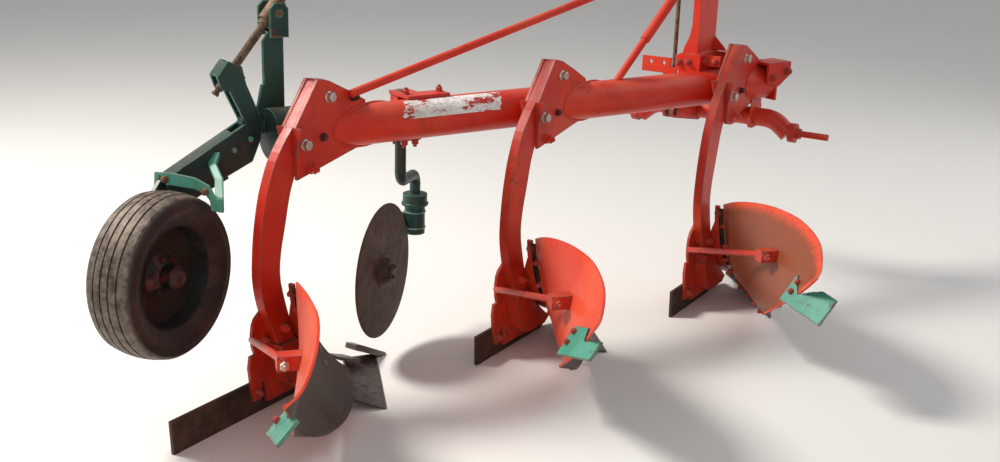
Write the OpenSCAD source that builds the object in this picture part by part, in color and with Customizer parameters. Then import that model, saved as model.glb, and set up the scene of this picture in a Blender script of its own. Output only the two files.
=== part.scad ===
// Mounted three-furrow plough, right-hand, not reversible, at rest on its soles.
// +X is to the right of travel, +Y forward, +Z up. The soles stand on Z = 0.
// The origin lies on the sole of the rear landside, 273 mm ahead of its heel.
// Each body has its own frame: X = 0 in the middle of its leg, Y = 0 behind its heel.

/* [Bodies] */
// Distance from one body to the next along the travel
body_pitch = 900; // [860:10:1000]
// Furrow width, from one body to the next across the travel
furrow_w = 392; // [370:2:420]
// Thickness of a leg across the travel
leg_t = 36; // [30:1:40]
// Thickness of the bracket plates and frog plates
plate_t = 12; // [8:1:14]
// Thickness of the moldboard sheet
board_t = 8; // [6:0.5:10]
// Height of a landside
landside_h = 116; // [100:2:130]
// Thickness of a landside
landside_t = 12; // [10:1:14]
// Diameter of a moldboard stay
stay_d = 24; // [18:1:28]

/* [Beam] */
// Outside diameter of the main tube
beam_d = 145; // [130:1:146]
// Wall of the main tube
beam_wall = 8; // [6:0.5:12]
// Height of the tube's centre line above the soles
beam_z = 920; // [915:1:925]

/* [Headstock] */
// Height of the mast's top
mast_top = 1520; // [1500:5:1560]
// Width between the mast's side plates, for the top link
mast_gap = 52; // [50:1:56]
// Diameter of the top link holes
top_hole_d = 25.7; // [25.5:0.1:26]
// Diameter of the cross shaft
shaft_d = 80; // [70:1:84]
// Diameter of the lower link pins
pin_d = 28; // [27.5:0.1:28.5]
// Length of each lower link pin outside its shoulder
pin_len = 120; // [100:1:130]
// Diameter of the long stay
long_stay_d = 30; // [26:1:34]

/* [Depth wheel] */
// Outside diameter of the tyre
tyre_d = 536; // [500:2:540]
// Width of the tyre
tyre_w = 170; // [150:2:174]
// Diameter of the threaded spindle
spindle_d = 28; // [24:1:30]

/* [Coulter] */
// Diameter of the coulter disc
disc_d = 508; // [480:2:510]
// Thickness of the coulter disc
disc_t = 5; // [4:0.5:6]
// Diameter of the coulter stem
stem_d = 42; // [36:1:44]

/* [Hidden] */
$fn = 48;
seat = 0.3;        // gap of pieces that rest beside a curved face
bend_lap = 2;      // straight runs of a bent bar reach this far into its bends
pin_fit = 0.05;    // radial play of a turning pin
red = [0.80, 0.16, 0.09];
green = [0.10, 0.42, 0.36];
dark = [0.20, 0.16, 0.14];
steel = [0.42, 0.38, 0.35];
rust = [0.45, 0.33, 0.26];

// Direction of the beam: it runs over the three bodies
skew = atan2(furrow_w, body_pitch);
body_step = norm([furrow_w, body_pitch]);   // from one leg to the next along the beam
beam_y0 = 970;     // where the centre line crosses the middle of the rear leg
beam_rear = -238;  // ends of the tube along itself, from that point
beam_front = round(2 * body_step) + 92;

// Helpers

// Draws a flat outline of [y, z] points as a plate from x0, w wide
module yz(x0, w) {
  translate([x0, 0, 0]) rotate([90, 0, 90]) linear_extrude(w) children();
}

// Round bar from p to q
module rod(p, q, d) {
  v = q - p;
  translate(p) rotate([0, acos(v[2] / norm(v)), atan2(v[1], v[0])]) cylinder(d = d, h = norm(v));
}

// Round bar, bent by a: it starts at the origin along +Y and turns to -X
module elbow(r, a, d) {
  translate([-r, 0, 0]) rotate_extrude(angle = a) translate([r, 0]) circle(d = d);
}

// Point [x, y] that lies n to the right of the beam's centre line, s along it
function beam_xy(n, s) = [n * cos(skew) + s * sin(skew), beam_y0 - n * sin(skew) + s * cos(skew)];

module at_body(k) {
  translate([k * furrow_w, k * body_pitch, 0]) children();
}

// Frame of the beam: origin on its centre line, Y along it, X to its right
module at_beam() {
  translate([0, beam_y0, beam_z]) rotate([0, 0, -skew]) children();
}

module beam_solid(extra = 0) {
  at_beam() translate([0, beam_rear, 0]) rotate([-90, 0, 0])
    cylinder(d = beam_d + extra, h = beam_front - beam_rear, $fn = 64);
}

// Smooth line through points p at u from 0 to 1
function pick(p, i) = p[max(0, min(len(p) - 1, i))];
function blend4(a, b, c, d, t) =
  0.5 * (2 * b + (c - a) * t + (2 * a - 5 * b + 4 * c - d) * t * t + (3 * b - a - 3 * c + d) * t * t * t);
function smooth(p, u) =
  let (n = len(p) - 1, i = min(n - 1, floor(u * n)), t = u * n - i,
       a = i > 0 ? p[i - 1] : 2 * p[0] - p[1],
       d = i < n - 1 ? p[i + 2] : 2 * p[n] - p[n - 1])
  blend4(a, p[i], p[i + 1], d, t);

// Leg

// Side view of a leg: height, rear edge, front edge
LEG = [[241, 568, 646], [300, 543, 630], [380, 507, 605], [475, 487, 583], [560, 489, 590],
       [650, 500, 614], [740, 520, 637], [800, 541, 662], [870, 575, 700], [930, 622, 746],
       [970, 661, 786], [1050, 728, 815], [1104, 774, 826]];
leg_steps = 30;
leg_pts = concat(
  [for (i = [0:leg_steps]) let (r = smooth(LEG, i / leg_steps)) [r[1], r[0]]],
  [for (i = [leg_steps:-1:0]) let (r = smooth(LEG, i / leg_steps)) [r[2], r[0]]]);

module leg(k) {
  color(red) difference() {
    yz(-leg_t / 2, leg_t) polygon(leg_pts);
    translate([-k * furrow_w, -k * body_pitch, 0]) beam_solid(2 * seat);
  }
}

// Leg bracket

bracket_pts = [[774, 1111], [828, 1102], [930, 1056], [1026, 1008], [1018, 852], [932, 838],
               [664, 791], [664, 881], [658, 967]];
flange_out = 22;   // reach of the outward bent flange
square_hole = 16;

bracket_bolt = [795, 908];   // [y, z] of the square hole
module bracket(k) {
  color(red) difference() {
    for (s = [0, 1]) mirror([s, 0, 0]) {
      difference() {
        yz(leg_t / 2, plate_t) polygon(bracket_pts);
        translate([leg_t / 2 - 1, bracket_bolt[0] - square_hole / 2, bracket_bolt[1] - square_hole / 2])
          cube([plate_t + 2, square_hole, square_hole]);
      }
      translate([leg_t / 2 + plate_t, 666, 0]) rotate([90, 0, 0]) linear_extrude(8)
        polygon([[0, 970], [flange_out, 964], [0, 872]]);
    }
    translate([-k * furrow_w, -k * body_pitch, 0]) beam_solid();
  }
}

// Frog

// Side view of the plate on the left of the leg, and of the wedge on its right
frog_left_pts = [[519, 360], [497, 345], [485, 324], [479, 290], [482, 246], [492, 218], [470, 218], [462, 177],
                 [472, 98], [484, 50], [512, 50], [522, 110], [530, 110], [545, 30], [800, 30], [860, 62],
                 [730, 190], [700, 262], [660, 326], [610, 372], [545, 378]];
frog_right_pts = [[572, 232], [560, 200], [575, 150], [600, 90], [640, 60], [780, 60], [810, 80],
                  [700, 168], [655, 232]];
frog_side = leg_t / 2;

module frog() {
  color(red) {
    yz(-frog_side - plate_t, plate_t) difference() {
      polygon(frog_left_pts);
      polygon(shin_pts);
      polygon(concat([for (i = [0:shin_steps]) smooth(SHIN, i / shin_steps)], [[1400, 452], [1400, 58]]));
    }
    yz(frog_side, plate_t) polygon(frog_right_pts);
    // web between the side plates, in front of and below the leg's foot
    yz(-frog_side, leg_t) polygon([[568, 236], [575, 160], [600, 90], [640, 60], [760, 60], [700, 164], [655, 236]]);
  }
}

// Landside

landside_x = -frog_side - plate_t;   // its inner face lies on the frog's outer face

// Heel of each body's landside: the rear one is longer
HEEL = [121, 369, 369];
module landside(k) {
  color(dark) yz(landside_x - landside_t, landside_t - seat)
    polygon([[HEEL[k] + 6, 0], [860, 0], [905, 30], [880, 60], [700, landside_h], [HEEL[k], landside_h]]);
}

// Origin of the whole part, on the sole of the rear landside
datum = [frog_side + plate_t + landside_t / 2, -400, 0];
module at_datum() {
  translate(datum) children();
}

// Share and point

share_t = 10;
// Corners of the share's upper face: front left, front, wing end, back, by the shin
share_back = [44, 47];   // height of its back edge at the wing and by the shin
share_top = [[-20, 1122, 5], [12, 1114, 5], [312, 778, 5], [232, 704, share_back[0]], [-20, 955, share_back[1]]];
share_low = [[-20, 1110, 0], [10, 1106, 0], [306, 774, 0], [226, 702, share_back[0] - share_t],
             [-20, 950, share_back[1] - share_t]];

module share() {
  n = len(share_top);
  color(steel) polyhedron(concat(share_top, share_low), concat(
    [for (i = [1:n - 2]) [0, i, i + 1]], [for (i = [1:n - 2]) [n, n + i + 1, n + i]],
    [for (i = [0:n - 1]) for (t = [0, 1]) let (j = (i + 1) % n)
      t == 0 ? [i, n + i, n + j] : [i, n + j, j]]));
}

point_w = 50;
module point() {
  color(steel) yz(-30, point_w)
    polygon([[1160, 0], [1162, 8], [1020, 84], [985, 98], [978, 78], [1122, 5.4], [1136, 0]]);
}

// Shin and moldboard

// Sections of the moldboard from shin to wing: lower edge, bend, top edge
BOARD = [
  [[62, 888, 52], [84, 655, 205], [78, 603, 465]],
  [[145, 800, 52], [66, 612, 180], [169, 499, 514]],
  [[232, 700, 54], [70, 560, 172], [288, 383, 557]],
  [[330, 545, 70], [130, 455, 182], [420, 266, 584]],
  [[390, 400, 98], [240, 300, 208], [550, 150, 586]],
  [[420, 302, 130], [365, 160, 238], [664, 5, 563]],
  [[436, 225, 160], [500, 50, 295], [714, -107, 512]],
  [[437, 155, 190], [622, -30, 352], [728, -196, 494]]];
board_u = 28;      // steps along and up the sheet
board_v = 14;

board_low = [for (r = BOARD) r[0]];
board_mid = [for (r = BOARD) r[1]];
board_top = [for (r = BOARD) r[2]];

function board_at(u, v) =
  (1 - v) * (1 - v) * smooth(board_low, u) + 2 * v * (1 - v) * smooth(board_mid, u)
  + v * v * smooth(board_top, u);
// Unit normal, pointing to the back of the sheet
function board_n(u, v) =
  let (e = 0.004, ua = max(0, u - e), ub = min(1, u + e), va = max(0, v - e), vb = min(1, v + e),
       n = cross(board_at(ub, v) - board_at(ua, v), board_at(u, vb) - board_at(u, va)))
  n / norm(n);
function board_pts(off) =
  [for (i = [0:board_u]) for (j = [0:board_v])
    let (u = i / board_u, v = j / board_v) board_at(u, v) + off * board_n(u, v)];

// Closed sheet between the offsets a (front) and b (back)
module board_sheet(a, b) {
  m = board_v + 1;
  o = (board_u + 1) * m;
  last = board_u;
  faces = concat(
    [for (i = [0:last - 1]) for (j = [0:board_v - 1]) for (t = [0, 1]) t == 0
      ? [i * m + j, (i + 1) * m + j, (i + 1) * m + j + 1]
      : [i * m + j, (i + 1) * m + j + 1, i * m + j + 1]],
    [for (i = [0:last - 1]) for (j = [0:board_v - 1]) for (t = [0, 1]) t == 0
      ? [o + i * m + j, o + (i + 1) * m + j + 1, o + (i + 1) * m + j]
      : [o + i * m + j, o + i * m + j + 1, o + (i + 1) * m + j + 1]],
    [for (i = [0:last - 1]) for (t = [0, 1]) t == 0
      ? [(i + 1) * m, i * m, o + i * m] : [(i + 1) * m, o + i * m, o + (i + 1) * m]],
    [for (i = [0:last - 1]) let (a1 = i * m + board_v, b1 = (i + 1) * m + board_v) for (t = [0, 1]) t == 0
      ? [a1, b1, o + b1] : [a1, o + b1, o + a1]],
    [for (j = [0:board_v - 1]) for (t = [0, 1]) t == 0
      ? [j, j + 1, o + j + 1] : [j, o + j + 1, o + j]],
    [for (j = [0:board_v - 1]) let (a1 = last * m + j) for (t = [0, 1]) t == 0
      ? [a1 + 1, a1, o + a1] : [a1 + 1, o + a1, o + a1 + 1]]);
  polyhedron(concat(board_pts(a), board_pts(b)), faces);
}

module moldboard() {
  color(red) board_sheet(0, board_t);
}

// Shin: the strip in front of the leg, curved as the moldboard is
shin_x0 = -24;
shin_w = 80;
shin_t = 12;
SHIN = [[962, 58], [860, 100], [770, 152], [700, 216], [652, 290], [624, 372], [612, 452]];
shin_steps = 18;
shin_pts = concat(
  [for (i = [0:shin_steps]) smooth(SHIN, i / shin_steps)],
  [for (i = [shin_steps:-1:0]) let (a = smooth(SHIN, max(0, i - 0.5) / shin_steps),
      b = smooth(SHIN, min(shin_steps, i + 0.5) / shin_steps), d = (b - a) / norm(b - a))
    smooth(SHIN, i / shin_steps) + shin_t * [d[1], -d[0]] * -1]);

// It is full width below and leans to the right above the furrow's edge
module shin() {
  color(red) intersection() {
    yz(shin_x0, shin_w) polygon(shin_pts);
    translate([0, 1100, 0]) rotate([90, 0, 0]) linear_extrude(600)
      polygon([[shin_x0, 0], [shin_x0, 225], [36, 380], [36, 470], [shin_x0 + shin_w, 470], [shin_x0 + shin_w, 0]]);
  }
}

// Stay and tail piece

stay_low_end = [-12, 474, 279];
stay_eye = [419, 141, 433];

module stay() {
  color(red) difference() {
    union() {
      rod(stay_low_end - 0.02 * (stay_eye - stay_low_end), stay_eye, stay_d);
      translate(stay_eye + [-14, -4, -4]) rotate([0, 0, -42]) translate([-22, -6, -26]) cube([46, 90, 46]);
    }
    board_sheet(-90, board_t);
    yz(-60, 60) polygon(frog_left_pts);
  }
}

// Tail plate: its root corner and its turn, rise and roll on each body
TAIL = [
  [[614, -32, 417], -40.2, -18.2, 45.6],
  [[592, -32, 432], -34.4, -17.2, 46.8],
  [[604, -10, 430], -33.5, 5.5, 54.9]];
tail_len = 222;
tail_w = 108;
tail_t = 9;
tail_bolts = [[26, -22], [26, -62]];

module tail(k) {
  r = TAIL[k];
  color(green) difference() {
    translate(r[0]) rotate([0, 0, r[1]]) rotate([0, r[2], 0]) rotate([r[3], 0, 0]) {
      translate([0, -tail_w, 0]) cube([tail_len, tail_w, tail_t]);
      for (b = tail_bolts) translate([b[0], b[1], -20]) cylinder(d = 24, h = 21);
    }
    board_sheet(-25, board_t);
  }
}

// Frame

module beam() {
  color(red) difference() {
    beam_solid();
    at_beam() translate([0, beam_rear + 10, 0]) rotate([-90, 0, 0])
      cylinder(d = beam_d - 2 * beam_wall, h = beam_front - beam_rear - 20, $fn = 64);
  }
}

// Bracket at the front end of the beam: a web on its right side under a flange
front_web_x = beam_d / 2 + seat;
front_end_s = beam_front + 73;
front_web_s = beam_front - 65;    // rear edge of the web
module front_end() {
  color(red) difference() {
    at_beam() {
      translate([front_web_x, 0, 0]) rotate([90, 0, 90]) linear_extrude(plate_t)
        polygon([[front_web_s, 10], [beam_front + 5, -10], [front_end_s, 38], [front_end_s, 96], [front_web_s, 96]]);
      translate([-20, front_web_s, 96 - plate_t]) cube([front_web_x + plate_t + 20, front_end_s - front_web_s, plate_t]);
      translate([-beam_d / 2, beam_front + seat, -72]) cube([beam_d, plate_t, 160]);
    }
    // room for the front leg's bracket
    at_body(2) translate([-leg_t / 2 - plate_t - 40, 600, 700]) cube([leg_t + 2 * plate_t + 40 + seat, 440, 400]);
  }
}

mast_x = 2 * furrow_w - 155;    // centre of the mast across the travel
mast_y = 2 * body_pitch + 700;  // rear face of the mast
mast_w = 32;
mast_depth = 190;
mast_low = 1060;   // lower end, in its foot
head_low = mast_top - 220;      // lower end of the cheeks for the top link
top_holes = [mast_top - 175, mast_top - 95];
top_hole_y = mast_y + 245;
cheek_x = mast_gap / 2;

module mast() {
  color(red) difference() {
    union() {
      // box: side walls, rear and front
      for (x = [mast_x - mast_w / 2, mast_x + mast_w / 2 - 8])
        translate([x, mast_y + 8, mast_low]) cube([8, mast_depth - 16, mast_top - mast_low]);
      translate([mast_x, mast_y + 8, 0]) rotate([90, 0, 0]) linear_extrude(8) polygon([
        [-mast_w / 2 - 34, mast_low], [mast_w / 2, mast_low], [mast_w / 2, mast_top],
        [-mast_w / 2, mast_top], [-mast_w / 2, mast_low + 120], [-mast_w / 2 - 10, mast_low + 70],
        [-mast_w / 2 - 30, mast_low + 25]]);
      translate([mast_x, mast_y + mast_depth, 0]) rotate([90, 0, 0]) linear_extrude(8) polygon([
        [-mast_w / 2 - 34, mast_low], [mast_w / 2 + 56, mast_low], [mast_w / 2 + 46, mast_low + 15],
        [mast_w / 2, mast_low + 60], [mast_w / 2, mast_top], [-mast_w / 2, mast_top],
        [-mast_w / 2, mast_low + 90]]);
      // cheeks for the top link, on packings
      for (s = [-1, 1]) translate([mast_x, 0, 0]) mirror([s < 0 ? 1 : 0, 0, 0]) {
        yz(cheek_x, plate_t) polygon([[mast_y + 60, head_low], [mast_y + 200, head_low],
          [top_hole_y + 37, head_low + 30], [top_hole_y + 37, mast_top - 50], [top_hole_y - 5, mast_top],
          [mast_y + 60, mast_top]]);
        yz(mast_w / 2, cheek_x - mast_w / 2) polygon([[mast_y + 70, head_low + 10],
          [mast_y + mast_depth, head_low + 10], [mast_y + mast_depth, mast_top - 10], [mast_y + 70, mast_top - 10]]);
      }
    }
    for (z = top_holes) translate([mast_x - 60, top_hole_y, z]) rotate([0, 90, 0]) cylinder(d = top_hole_d, h = 120);
  }
}

foot_low = 940;        // underside of the mast's foot, inside the beam's tube line
foot_t = 12;
gear_holes = [mast_x - 189, mast_x - 129];   // in the plate on its left
module mast_foot() {
  color(red) difference() {
    union() {
      // rear strap, with the plate for the levelling gear on its left
      translate([mast_x - 77, mast_y - foot_t - seat, 985]) cube([112, foot_t, 68]);
      translate([mast_x - 229, mast_y - foot_t - seat, 968]) cube([132, foot_t, 66]);
      translate([mast_x - 129, mast_y - foot_t - seat, foot_low + 10]) cube([60, foot_t, 45]);
      // side plate and front strap
      translate([mast_x + mast_w / 2 + seat, mast_y - foot_t - seat, foot_low + 10])
        cube([foot_t, mast_depth + 2 * foot_t + 2 * seat, 105]);
      translate([mast_x - 60, mast_y + mast_depth + seat, foot_low + 10]) cube([186, foot_t, 105]);
      translate([mast_x + mast_w / 2 + seat, mast_y + 40, 1010]) cube([90, foot_t, 45]);
      // bed under the mast
      translate([mast_x - 60, mast_y - foot_t - seat, foot_low])
        cube([92, mast_depth + foot_t + 2 * seat, mast_low - foot_low - seat]);
    }
    beam_solid();
    for (x = gear_holes) translate([x, mast_y, 1011]) rotate([90, 0, 0]) cylinder(d = 18, h = 40);
    // room for the front leg's bracket
    at_body(2) translate([-leg_t / 2 - plate_t - seat, 600, 900]) cube([100, 500, 300]);
  }
}

stay_foot = [44, 930, 1044];
stay_up = [mast_x - mast_w / 2 - 26, mast_y + 8, mast_top - 62];
module long_stay() {
  color(red) difference() {
    rod(stay_foot, stay_up + 0.025 * (stay_up - stay_foot), long_stay_d);
    translate([mast_x - mast_w / 2 - seat, mast_y - 50, head_low]) cube([mast_w, mast_depth, mast_top - head_low]);
  }
}

// Short brace: a thin lower and a thicker upper bar
brace_low = concat(beam_xy(0, body_step + 225), beam_z + 65);
brace_top = [mast_x - 10, mast_y + 14, mast_top - 68];
brace_d = [30, 40];
module short_brace() {
  run = brace_top - brace_low;
  color(red) difference() {
    union() {
      rod(brace_low - 0.05 * run, brace_low + 0.36 * run, brace_d[0]);
      rod(brace_low + 0.33 * run, brace_top, brace_d[1]);
    }
    beam_solid();
    translate([mast_x - 100, mast_y - seat, 1200]) cube([200, 200, 400]);
  }
}

// Cross shaft: straight, with both ends bent down to the lower link pins
shaft_x = mast_x - 8;
shaft_y = mast_y + 300;
shaft_z = 771;
shaft_half = 245;      // straight half
shaft_r = 110;         // radius of the bends
shaft_bend = 40;
shaft_drop = 28;       // straight run below each bend
lug_t = 30;
lever_x = mast_x - 101;               // side of the levelling lever
lever_end = [mast_y + 30, 800];
lever_eye = 36;
lever_drift = 6;       // the screw stands this far ahead of the eye's middle, halfway along its arc
lever_gap = 26;        // between the lever's two plates

module shaft_half_side() {
  end = [shaft_r * sin(shaft_bend), -shaft_r * (1 - cos(shaft_bend))];
  tip = end + shaft_drop * [cos(shaft_bend), -sin(shaft_bend)];
  rotate([0, 90, 0]) cylinder(d = shaft_d, h = shaft_half + bend_lap);
  translate([shaft_half, 0, 0]) {
    rotate([-90, 0, 0]) rotate([0, 0, -90]) elbow(shaft_r, shaft_bend, shaft_d + 1);
    translate([end[0], 0, end[1]]) rotate([0, 90 + shaft_bend, 0]) translate([0, 0, -bend_lap])
      cylinder(d = shaft_d, h = shaft_drop + 20 + bend_lap);
    translate([tip[0] + 22, 0, tip[1] - 6]) rotate([0, 90, 0]) {
      cylinder(d = shaft_d + 4, h = lug_t);
      cylinder(d = 46, h = lug_t + 20);
      cylinder(d = pin_d, h = lug_t + 20 + pin_len);
    }
  }
}

module cross_shaft() {
  color(red) {
    translate([shaft_x, shaft_y, shaft_z]) {
      shaft_half_side();
      mirror([1, 0, 0]) shaft_half_side();
    }
    for (x = [-lever_gap / 2 - plate_t, lever_gap / 2]) yz(lever_x + x, plate_t) difference() {
      hull_bar([shaft_y, shaft_z], lever_end, shaft_d + 20, lever_eye + 20);
      translate(lever_end) circle(d = lever_eye);
    }
  }
}

// Flat bar between two eyes, given as [y, z] points and the eyes' diameters
module hull_bar(p, q, dp, dq) {
  v = (q - p) / norm(q - p);
  n = [-v[1], v[0]];
  translate(p) circle(d = dp);
  translate(q) circle(d = dq);
  polygon([p + n * dp / 2, q + n * dq / 2, q - n * dq / 2, p - n * dp / 2]);
}

// Two hangers under the beam, in which the cross shaft turns
hanger_x = [mast_x + 71, mast_x + 171];
hanger_y = 62;         // half its length along the travel
hanger_top = 900;
module shaft_bearing() {
  color(red) difference() {
    for (x = hanger_x) yz(x, 20) difference() {
      polygon([[shaft_y - hanger_y, hanger_top], [shaft_y - hanger_y, shaft_z], [shaft_y - 36, shaft_z - 46],
        [shaft_y + 36, shaft_z - 46], [shaft_y + hanger_y, shaft_z], [shaft_y + hanger_y, hanger_top]]);
      translate([shaft_y, shaft_z]) circle(d = shaft_d + 2 * pin_fit);
    }
    beam_solid();
    // nothing above the beam's middle, and room for the front end and the front leg's bracket
    at_beam() translate([-300, beam_front - 555, 0]) cube([600, 900, 200]);
    at_beam() translate([front_web_x - seat, front_web_s - 10, -100]) cube([plate_t + 2 * seat, 200, 200]);
    at_beam() translate([-100, beam_front, -100]) cube([200, 60, 200]);
    at_body(2) translate([-leg_t / 2 - plate_t - seat, 600, 788]) cube([leg_t + 2 * plate_t + 2 * seat, 430, 300]);
  }
}

// Levelling screw, from the lever of the cross shaft up to its guide on the mast
screw_top = mast_top - 70;
screw_d = 18;
screw_y = lever_end[0] + lever_drift;
module lever_screw() {
  color(rust) {
    translate([lever_x, screw_y, lever_end[1]]) {
      rotate([0, 90, 0]) cylinder(d = 44, h = lever_gap - 4 * seat, center = true);
      rotate([0, 90, 0]) cylinder(d = screw_d, h = lever_gap + 2 * plate_t + 10, center = true);
      cylinder(d = screw_d, h = screw_top - lever_end[1]);
    }
    translate([lever_x, screw_y, screw_top]) {
      translate([-90, -5, 0]) cube([96, 10, 10]);
      translate([-84, 0, 0]) cylinder(d = 22, h = 70);
    }
  }
}

// Guide of the levelling screw, a bored block on an arm of the mast
guide_z = mast_top - 158;      // middle of the block
guide_w = 44;
module screw_guide() {
  color(red) difference() {
    union() {
      translate([lever_x, screw_y, guide_z]) cube(guide_w, center = true);
      translate([lever_x, screw_y - 6, guide_z - 12]) cube([mast_x - mast_w / 2 - lever_x, 12, 24]);
    }
    translate([lever_x, screw_y, guide_z - guide_w]) cylinder(d = screw_d + 2 * pin_fit, h = 2 * guide_w);
  }
}

// Depth wheel

carrier_off = -50;   // plane of the wheel carrier, left of the beam's centre line
pivot_s = -345;      // pivot of the wheel arm: along the beam and height
pivot_z = 955;
pivot_d = 32;
nut_s = -415;
nut_z = 1118;
head_s = -252;       // swivel block at the top of the post
head_z = 1318;
spindle_v = [0, head_s - nut_s, head_z - nut_z];
spindle_dir = spindle_v / norm(spindle_v);
spindle_tilt = atan2(spindle_dir[1], spindle_dir[2]);
cheek_in = 22;       // inner and outer side of the arm's two cheeks
cheek_out = 34;
sleeve_s = [-300, -170];
sleeve_wall = 15;

// Frame of the carrier: origin in the beam's frame at height 0
module at_carrier() {
  translate([0, beam_y0, 0]) rotate([0, 0, -skew]) translate([carrier_off, 0, 0]) children();
}

// Frame of the screw: origin at the nut, Z along the spindle
module at_nut() {
  at_carrier() translate([0, nut_s, nut_z]) rotate([-spindle_tilt, 0, 0]) children();
}

module wheel_bracket() {
  color(green) difference() {
    at_carrier() difference() {
      union() {
        // clamp on the end of the beam
        translate([-carrier_off, sleeve_s[0], beam_z]) rotate([-90, 0, 0])
          cylinder(d = beam_d + 2 * sleeve_wall, h = sleeve_s[1] - sleeve_s[0]);
        // post and the two ears at its top
        yz(-8, 16) polygon([[-292, 978], [-220, 978], [-220, 1250], [-272, 1250], [-292, 1225]]);
        for (x = [-52, 40]) yz(x, plate_t) polygon([[head_s - 32, 1240], [head_s + 32, 1240],
          [head_s + 32, 1335], [head_s + 16, 1352], [head_s - 16, 1352], [head_s - 32, 1335]]);
        translate([-52, -270, 1240]) cube([104, 50, 12]);
        // foot of the post, towards the rear
        yz(-8, 16) polygon([[-321, 985], [-285, 985], [-285, 1080], [-299, 1080]]);
        // lug of the arm's pivot
        yz(-cheek_in + 0.5, 2 * cheek_in - 1) difference() {
          union() {
            translate([pivot_s, pivot_z]) circle(d = 72);
            translate([pivot_s, pivot_z - 36]) square([60, 72]);
          }
          translate([pivot_s, pivot_z]) circle(d = pivot_d + 2 * pin_fit);
        }
      }
      translate([-carrier_off, sleeve_s[0] + 12, beam_z]) rotate([-90, 0, 0]) cylinder(d = beam_d, h = 180, $fn = 64);
      translate([-60, head_s, head_z]) rotate([0, 90, 0]) cylinder(d = 24 + 2 * pin_fit, h = 140);
    }
    // room for the rear leg's bracket
    translate([-leg_t / 2 - plate_t - seat, 600, 700]) cube([200, 400, 600]);
    translate([-leg_t / 2 - plate_t - flange_out - 2, 650, 860]) cube([30, 20, 130]);
  }
}

wheel_yaw = 7.9;
wheel_c = [-179, 253, 534];
axle_d = 32;
drop_top = 268;
drop_x = -112;       // inner side of the plate that carries the axle
module at_wheel() {
  translate(wheel_c) rotate([0, 0, wheel_yaw]) children();
}

// Side view of the arm's cheeks, with the lever that the screw holds
cheek_pts = [[-372, 959], [-655, 803], [-650, 772], [-600, 742], [-560, 735], [-352, 830], [-322, 900],
  [-309, 955], [-322, 985], [-366, nut_z - 28], [-380, nut_z + 34], [-428, nut_z + 52],
  [-466, nut_z + 4], [-452, nut_z - 40], [-424, nut_z - 48]];

module wheel_arm() {
  color(green) {
    at_carrier() {
      for (x = [-cheek_out, cheek_in]) yz(x, cheek_out - cheek_in) polygon(cheek_pts);
      yz(-cheek_in - 1, 2 * cheek_in + 2) polygon([[-420, 933], [-655, 803], [-648, 789], [-414, 919]]);
      yz(-cheek_in - 1, 2 * cheek_in + 2) polygon([[-440, 790], [-560, 735], [-554, 723], [-434, 778]]);
      translate([-cheek_out, pivot_s, pivot_z]) rotate([0, 90, 0]) cylinder(d = pivot_d, h = 2 * cheek_out);
    }
    // walls of the nut's housing
    at_nut() for (y = [-44, 36]) translate([-cheek_in - 1, y, -28]) cube([2 * cheek_in + 2, 8, 56]);
    at_wheel() {
      yz(drop_x, 14) polygon([[-36, -30], [36, -30], [50, 60], [205, 225], [205, drop_top], [140, drop_top], [60, 200], [-36, 40]]);
      translate([drop_x, 0, 0]) rotate([0, 90, 0]) cylinder(d = axle_d, h = 180);
    }
  }
}

scraper_y = 136;     // place of the scraper, ahead of the axle
// Flat strap from the arm's right side to the scraper, bent twice: [x, y, z] in the wheel's frame
STRAP = [[12, 284, 336], [12, 262, 303], [72, 215, 271], [122, scraper_y + 10.5, 231], [122, scraper_y + 10.5, 200]];
strap_w = 30;
strap_t = 6;

module scraper() {
  color(green) {
    difference() {
      at_wheel() translate([0, scraper_y + 8, 0]) rotate([90, 0, 0]) linear_extrude(8) difference() {
        polygon([[-122, 289], [-54, 294], [36, 290], [90, 271], [112, 234], [140, 234], [140, 190], [98, 190],
                 [92, 224], [70, 246], [34, 254], [-57, 254], [-126, 246]]);
        // slot over the plate that carries the axle
        translate([drop_x - seat, 200]) square([14 + 2 * seat, drop_top - 200 + seat]);
      }
      // slot over the arm's right side
      at_carrier() translate([cheek_in / 2, -720, 700])
        cube([cheek_out - cheek_in / 2 + seat, 200, 115]);
    }
    difference() {
      at_wheel() for (i = [0:len(STRAP) - 2]) hull() for (p = [STRAP[i], STRAP[i + 1]])
        translate(p) cube([strap_w, strap_t, strap_t * 2], center = true);
      at_carrier() translate([-200, -800, 600]) cube([200 + cheek_out + seat, 600, 600]);
    }
  }
}

module swivel_block() {
  color(rust) at_carrier() translate([0, head_s, head_z]) rotate([-spindle_tilt, 0, 0]) difference() {
    union() {
      translate([-52, 0, 0]) rotate([0, 90, 0]) cylinder(d = 24, h = 104);
      translate([0, 0, -36]) cylinder(d = 60, h = 66);
    }
    translate([0, 0, -50]) cylinder(d = spindle_d + 2 * pin_fit, h = 100);
  }
}

head_gap = norm(spindle_v);      // from the nut to the swivel block
spindle_low = 78;                // end of the spindle below the nut
thread_low = 57;                 // end of its thread, where the nut stops
module spindle() {
  color(rust) at_nut() {
    translate([0, 0, -thread_low]) cylinder(d = spindle_d, h = thread_low + head_gap + 90);
    // plain end below the thread: a neck and a knob
    translate([0, 0, -spindle_low]) cylinder(d = spindle_d - 9, h = spindle_low);
    translate([0, 0, -spindle_low]) cylinder(d = spindle_d - 3, h = 10);
    // collars above and below the swivel block
    translate([0, 0, head_gap - 52]) cylinder(d = 44, h = 16 - seat);
    translate([0, 0, head_gap + 30 + seat]) cylinder(d = 44, h = 16);
    translate([0, 0, head_gap + 84]) rotate([0, 90, 0]) cylinder(d = 20, h = 120);
    translate([110, 0, head_gap + 84]) cylinder(d = 26, h = 120);
  }
}

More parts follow.
